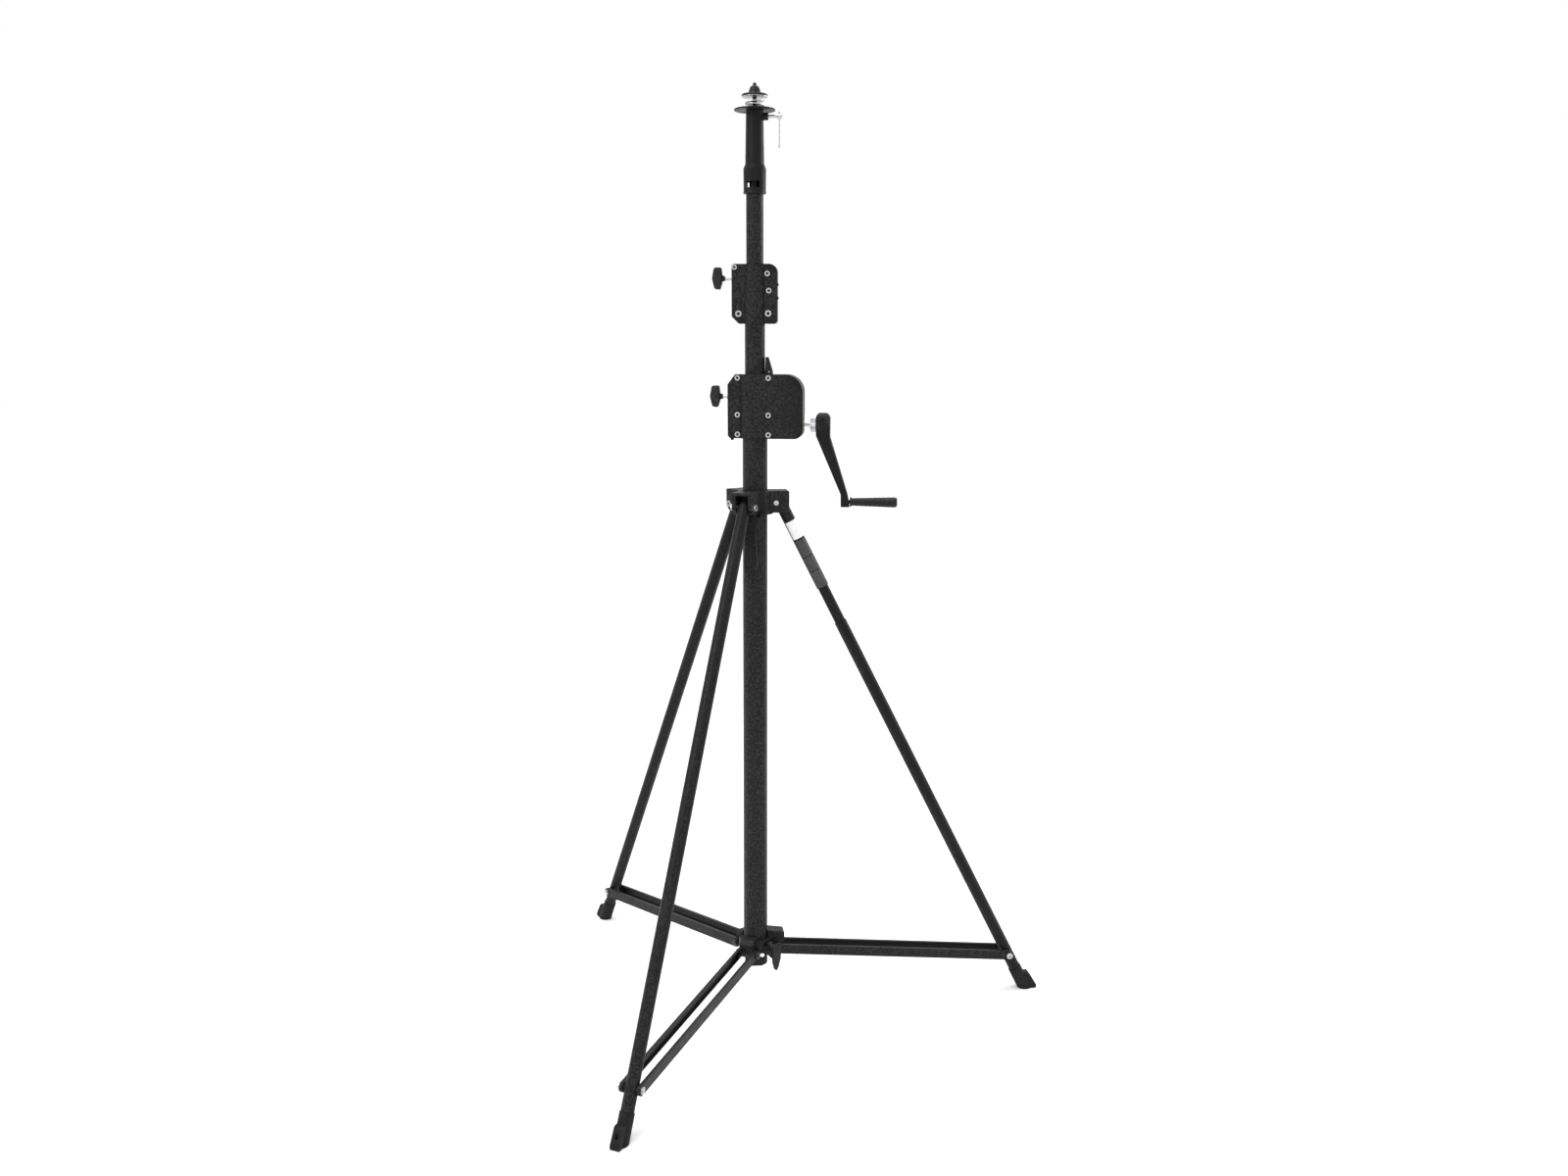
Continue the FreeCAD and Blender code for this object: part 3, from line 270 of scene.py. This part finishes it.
def wire_rope():
    """Bright wire rope: the bump runs slantwise along the strands, and the colour is painted dark
    in their grooves as shade.
    """
    m = Material("wire_rope")
    m.set(Metallic=0.9)
    strands = m.nodes.new("ShaderNodeTexWave")
    strands.wave_type = "BANDS"
    strands.bands_direction = "DIAGONAL"
    strands.inputs["Scale"].default_value = 420.0
    strands.inputs["Distortion"].default_value = 0.6
    m.link(m.coords, strands.inputs["Vector"])
    # painted shade: the colour darkens in the grooves between the wires, where the bump sinks
    m.colour(m.mix(strands.outputs["Fac"], (0.16, 0.16, 0.16), (0.55, 0.55, 0.56)))
    m.roughness(m.ramp(m.noise(600.0), 0.3, 0.7, 0.3, 0.5))
    m.bump(strands.outputs["Fac"], 0.6, 0.0003)
    return m.material


def label_paper():
    """The blank white vinyl label, a little grimy."""
    m = Material("label_vinyl")
    m.set(Specular_IOR_Level=0.5)
    cloud = m.ramp(m.noise(70.0, 4.0), 0.35, 0.7)
    grime = m.ramp(m.noise(330.0, 4.0, 0.7), 0.6, 0.75)
    base = m.mix(cloud, (0.80, 0.80, 0.79), (0.70, 0.70, 0.69))
    m.colour(m.mix(m.math("MULTIPLY", grime, 0.5), base, (0.35, 0.34, 0.33)))
    m.roughness(m.ramp(m.noise(200.0), 0.3, 0.7, 0.3, 0.45))
    m.bump(m.noise(500.0, 3.0), 0.08, 0.0002)
    return m.material


def grip_tape():
    """Dark grey abrasive wrap on the levelling leg's sleeve."""
    m = Material("grey_wrap")
    m.set(Specular_IOR_Level=0.4)
    grit = m.cells(900.0)
    cloud = m.ramp(m.noise(50.0, 4.0), 0.3, 0.7)
    base = m.mix(cloud, (0.022, 0.022, 0.023), (0.040, 0.040, 0.041))
    m.colour(m.mix(m.ramp(grit, 0.0, 0.5, 0.5, 0.0), base, (0.15, 0.15, 0.15)))
    m.roughness(m.ramp(m.noise(300.0), 0.3, 0.7, 0.5, 0.7))
    m.bump(grit, 0.5, 0.0005)
    return m.material


MATERIALS = {
    "black_metal": powder_coat(),
    "bright_steel": zinc_steel(),
    "black_steel": black_oxide(),
    "aluminium": machined_aluminium(),
    "black_plastic": moulded_plastic(),
    "black_rubber": boot_rubber(),
    "bronze": cast_bronze(),
}
ROPE = wire_rope()
LABEL = label_paper()
WRAP = grip_tape()


def dress_cad_nodes():
    """Gives every CAD node the material of its slot in the record."""
    for part in frame["record"]["subparts"]:
        node = frame["nodes"].get(part["node"])
        if node is None:
            continue
        material = MATERIALS[part["material_slot"]]
        if "cable" in part["node"] and part["node"] != "cable_drum":
            material = ROPE
        node.data.materials.clear()
        node.data.materials.append(material)


# ---- mesh helpers -------------------------------------------------------------------
def new_piece(name, mesh_builder, material, body, angle=35.0):
    """Makes a mesh piece from a bmesh, dresses it and hangs it on a CAD body."""
    mesh = bpy.data.meshes.new(name)
    mesh_builder.to_mesh(mesh)
    mesh_builder.free()
    piece = bpy.data.objects.new(name, mesh)
    bpy.context.collection.objects.link(piece)
    mesh.materials.append(material)
    mesh.shade_smooth()
    mesh.set_sharp_from_angle(angle=math.radians(angle))
    if body is not None:
        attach(piece, body)
    return piece


def lathe_rings(bm, profile, origin, axis, segments=48):
    """Turns (along, radius) points about an axis into closed quads."""
    axis = Vector(axis).normalized()
    side = axis.orthogonal().normalized()
    other = axis.cross(side)
    rings = []
    for along, radius in profile:
        ring = []
        for i in range(segments):
            angle = 2 * math.pi * i / segments
            spoke = side * math.cos(angle) + other * math.sin(angle)
            ring.append(bm.verts.new(Vector(origin) + axis * along + spoke * radius))
        rings.append(ring)
    for a, b in zip(rings, rings[1:]):
        for i in range(segments):
            j = (i + 1) % segments
            bm.faces.new((a[i], a[j], b[j], b[i]))
    return rings


def close_rings(bm, rings):
    bm.faces.new(list(reversed(rings[0])))
    bm.faces.new(rings[-1])


def on_leg(leg, along, around=0.0, radius=LEG_RADIUS):
    """A point on a leg's surface: metres from its pivot, radians round from outside."""
    turn = Matrix.Rotation(math.radians(LEG_TURN[leg]), 3, "Z")
    side = Vector((0, 1, 0))
    spoke = LEG_OUT * math.cos(around) + side * math.sin(around)
    return turn @ (LEG_TOP + LEG_LINE * along + spoke * radius)


def wrap_on_leg(name, leg, start, end, from_angle, to_angle, lift, material):
    """A thin curved patch that lies round part of a leg tube, with rounded edges."""
    bm = bmesh.new()
    rows, columns = 24, 32
    grid = []
    for i in range(rows + 1):
        line = []
        for j in range(columns + 1):
            along = start + (end - start) * i / rows
            around = from_angle + (to_angle - from_angle) * j / columns
            edge = min(i, rows - i, j, columns - j)
            height = lift * min(1.0, 0.35 + 0.35 * edge)
            line.append(bm.verts.new(on_leg(leg, along, around, LEG_RADIUS + height)))
        grid.append(line)
    for i in range(rows):
        for j in range(columns):
            bm.faces.new((grid[i][j], grid[i][j + 1], grid[i + 1][j + 1], grid[i + 1][j]))
    bmesh.ops.recalc_face_normals(bm, faces=bm.faces)
    return new_piece(name, bm, material, LEG_BODY[leg])


# ---- pieces -------------------------------------------------------------------------
def leg_label_and_wrap():
    """The white label and the grey wrap on the levelling leg's upper sleeve."""
    half = math.radians(150)
    wrap_on_leg("blank_label", "right", 0.037, 0.076, -half, half,
                0.00035, LABEL)
    spans = [(0.080, 0.117), (0.119, 0.150), (0.152, 0.189)]
    for i, (start, end) in enumerate(spans):
        wrap_on_leg("grey_wrap_%d" % (i + 1), "right", start, end, -half, half,
                    0.0005, WRAP)


ROPE_PITCH = 14 * MM                  # length of one full turn of a strand
ROPE_STEP = ROPE_PITCH / 8


def straight_up(bottom, top):
    """The centre line of a rope that hangs straight, as (place, heading) pairs."""
    count = int((top - bottom).length / ROPE_STEP)
    return [(bottom.lerp(top, i / count), UP) for i in range(count + 1)]


def over_pulley(centre, radius, outward, start_z, end_z):
    """The centre line of a rope that goes up, half round a pulley and down again."""
    rise, turn = centre.z - start_z, math.pi * radius
    total = rise + turn + centre.z - end_z
    count = int(total / ROPE_STEP)
    line = []
    for i in range(count + 1):
        s = total * i / count
        if s < rise:
            line.append((centre + outward * radius + UP * (s - rise), UP))
        elif s < rise + turn:
            angle = (s - rise) / radius
            spoke = outward * math.cos(angle) + UP * math.sin(angle)
            heading = UP * math.cos(angle) - outward * math.sin(angle)
            line.append((centre + spoke * radius, heading))
        else:
            line.append((centre - outward * radius - UP * (s - rise - turn), -UP))
    return line


def lay_rope(name, line, across, offset, radius):
    """Three strands twisted about a centre line; across stands square to its plane."""
    bm = bmesh.new()
    strands, sides = 3, 6
    for s in range(strands):
        rings = []
        for i, (place, heading) in enumerate(line):
            phase = 2 * math.pi * (s / strands + i * ROPE_STEP / ROPE_PITCH)
            other = heading.cross(across)
            middle = place + (across * math.cos(phase) + other * math.sin(phase)) * offset
            ring = []
            for k in range(sides):
                angle = 2 * math.pi * k / sides
                spoke = across * math.cos(angle) + other * math.sin(angle)
                ring.append(bm.verts.new(middle + spoke * radius))
            rings.append(ring)
        for low, high in zip(rings, rings[1:]):
            for k in range(sides):
                n = (k + 1) % sides
                bm.faces.new((low[k], low[n], high[n], high[k]))
        close_rings(bm, rings)
    bmesh.ops.recalc_face_normals(bm, faces=bm.faces)
    return new_piece(name, bm, ROPE, None, angle=70.0)


def outer_stage_rope():
    """The stage cable's outer run, laid straight up between the ends of its CAD node; on the
    stand it stretches as the first riser lifts its top end.
    """
    low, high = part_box("stage_cable_outer")
    middle = (low + high) / 2
    bottom, top = (Vector((middle.x, middle.y, z)) for z in (low.z, high.z))
    rope = lay_rope("stage_rope", straight_up(bottom, top), Vector((1, 0, 0)),
                    0.36 * MM, 0.38 * MM)
    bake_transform(rope)
    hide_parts("stage_cable_outer")


def inner_rope(name, node, outward, thick, short_end):
    """A rope over a pulley, laid once at rest; on the stand the long run down to a riser's foot
    shortens as that lifts.
    """
    low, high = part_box(node)
    middle = (low + high) / 2
    reach = abs((high - low).dot(outward)) / 2
    radius = reach - thick
    centre = Vector((middle.x, middle.y, high.z - reach))
    line = over_pulley(centre, radius, outward, short_end, low.z)
    rope = lay_rope(name, line, outward.cross(UP), 0.48 * thick, 0.505 * thick)
    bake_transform(rope)
    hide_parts(node)


def ropes():
    outer_stage_rope()
    inner_rope("lift_rope", "lift_cable", Vector((1, 0, 0)), 1.0 * MM, 1.2806)
    inner_rope("stage_rope_inner", "stage_cable_inner", Vector((0, 1, 0)), 0.75 * MM, 1.479)


def threaded_sleeve(name, body, start_x, end_x, height):
    """The bright thread of a locking screw, where it shows between its knob and its box."""
    bm = bmesh.new()
    length = end_x - start_x
    pitch, around = 1.25 * MM, 40
    steps = int(length / pitch * 10)
    rings = []
    for i in range(steps + 1):
        along = length * i / steps
        ring = []
        for j in range(around):
            angle = 2 * math.pi * j / around
            phase = (along / pitch - j / around) % 1.0
            radius = (4.015 + 0.075 * abs(1.0 - 2.0 * phase)) * MM
            ring.append(bm.verts.new((start_x + along, radius * math.cos(angle),
                                      height + radius * math.sin(angle))))
        rings.append(ring)
    for a, b in zip(rings, rings[1:]):
        for j in range(around):
            k = (j + 1) % around
            bm.faces.new((a[j], b[j], b[k], a[k]))
    close_rings(bm, rings)
    bmesh.ops.recalc_face_normals(bm, faces=bm.faces)
    new_piece(name, bm, MATERIALS["bright_steel"], body, angle=60.0)


def socket_shade_plugs(name, body, heads, head_height):
    """Black plugs down the sockets of bright screws that face the front: painted shade in their
    hollows.

    Each head is x, y of the face under it, z and the head's radius, all in mm."""
    bm = bmesh.new()
    for x, y, z, radius in heads:
        inner = 0.485 * radius * MM
        floor, top = 0.31 * head_height * MM, 0.86 * head_height * MM
        profile = [(floor, 0.92 * inner), (floor + 0.1 * MM, inner), (top - 0.15 * MM, inner),
                   (top, 0.9 * inner), (top - 0.3 * MM, 0.55 * inner),
                   (top - 0.5 * MM, 0.2 * inner)]
        rings = lathe_rings(bm, profile, (x * MM, y * MM, z * MM), (0, -1, 0), 24)
        close_rings(bm, rings)
    bmesh.ops.recalc_face_normals(bm, faces=bm.faces)
    # the black plugs are painted shade, set where the sockets' own shade falls
    new_piece(name, bm, MATERIALS["black_metal"], body)


def screw_details():
    threaded_sleeve("winch_lock_thread", "winch_knob", -64.4 * MM, -54.05 * MM, 1.293)
    threaded_sleeve("head_lock_thread", "head_knob", -58.9 * MM, -45.35 * MM, 1.524)
    heads = []
    for x, y in ((-34, -11.0), (30, -30.0)):
        for z in (1330, 1257, 1218):
            heads.append((x, y, z, 5.3))
    # black plugs in the front screw sockets, as painted shade
    socket_shade_plugs("winch_bolt_socket_shade", "mast", heads, 3.5)
    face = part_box("head_box_bolts")[0].y / MM + 3.0
    heads = [(-39.3, face, 1545.2, 4.9), (25.8, face, 1533, 5.3), (29, face, 1500, 5.3),
             (-31.5, face, 1455.4, 6.2), (27.7, face, 1456, 6.2)]
    socket_shade_plugs("head_bolt_socket_shade", "riser_1", heads, 3.0)


# ---- stage --------------------------------------------------------------------------
FLOOR_SIZE = 60.0
CAMERA_TURN = math.radians(6.5)       # the photo looks at the stand from this far round
CAMERA_DISTANCE = 2.8396
CAMERA_HEIGHT = 1.3774
CAMERA_PITCH = math.radians(9.46)
CAMERA_PAN = math.radians(1.19)
CAMERA_ROLL = math.radians(0.13)
FOCAL_SHARE = 0.8963                  # focal length over image width
SENSOR = 36.0


def pale_floor():
    """A pale floor, just under the soles, that runs out of sight."""
    material = Material("floor")
    cloud = material.ramp(material.noise(0.6, 3.0), 0.3, 0.7)
    material.colour(material.mix(cloud, (0.86, 0.86, 0.86), (0.89, 0.89, 0.89)))
    material.roughness(material.ramp(material.noise(3.0), 0.3, 0.7, 0.75, 0.85))
    bm = bmesh.new()
    bmesh.ops.create_grid(bm, x_segments=8, y_segments=8, size=FLOOR_SIZE / 2)
    mesh = bpy.data.meshes.new("floor")
    bm.to_mesh(mesh)
    bm.free()
    mesh.materials.append(material.material)
    floor = bpy.data.objects.new("floor", mesh)
    floor.location.z = -0.0004
    bpy.context.collection.objects.link(floor)


def soft_light(name, place, size, watts):
    """A square area light, aimed at the middle of the stand."""
    data = bpy.data.lights.new(name, "AREA")
    data.shape = "SQUARE"
    data.size = size
    data.energy = watts
    light = bpy.data.objects.new(name, data)
    light.location = place
    aim = Vector((0, 0, 1.0)) - Vector(place)
    light.rotation_euler = aim.to_track_quat("-Z", "Y").to_euler()
    bpy.context.collection.objects.link(light)


def broad_sun():
    """A wide, weak sun that lifts the floor to white with soft shadows."""
    data = bpy.data.lights.new("sky", "SUN")
    data.energy = 1.1
    data.angle = math.radians(40.0)
    sky = bpy.data.objects.new("sky", data)
    sky.rotation_euler = (math.radians(12.0), math.radians(-10.0), 0)
    bpy.context.collection.objects.link(sky)


def studio():
    """White surroundings, three soft lights and a weak sun."""
    world = bpy.data.worlds.new("studio")
    world.use_nodes = True
    background = world.node_tree.nodes["Background"]
    background.inputs["Color"].default_value = (1.0, 1.0, 1.0, 1.0)
    background.inputs["Strength"].default_value = 1.0
    bpy.context.scene.world = world
    soft_light("key", (-2.2, -2.4, 3.4), 1.6, 50.0)
    soft_light("rim", (3.0, 1.6, 2.4), 1.6, 50.0)
    soft_light("top", (0.2, 0.6, 4.2), 2.0, 30.0)
    broad_sun()
    bpy.context.scene.view_settings.view_transform = "Standard"


def camera():
    """The camera, at the photo's angle and distance."""
    data = bpy.data.cameras.new("camera")
    data.sensor_width = SENSOR
    data.lens = FOCAL_SHARE * SENSOR
    view = bpy.data.objects.new("camera", data)
    bpy.context.collection.objects.link(view)
    place = Vector((CAMERA_DISTANCE * math.sin(CAMERA_TURN),
                    -CAMERA_DISTANCE * math.cos(CAMERA_TURN), CAMERA_HEIGHT))
    heading = Matrix.Rotation(CAMERA_TURN - CAMERA_PAN, 4, "Z")
    tilt = Matrix.Rotation(math.pi / 2 - CAMERA_PITCH, 4, "X")
    roll = Matrix.Rotation(CAMERA_ROLL, 4, "Z")
    view.matrix_world = Matrix.Translation(place) @ heading @ tilt @ roll
    bpy.context.scene.camera = view


dress_cad_nodes()
leg_label_and_wrap()
ropes()
screw_details()
pale_floor()
studio()
camera()
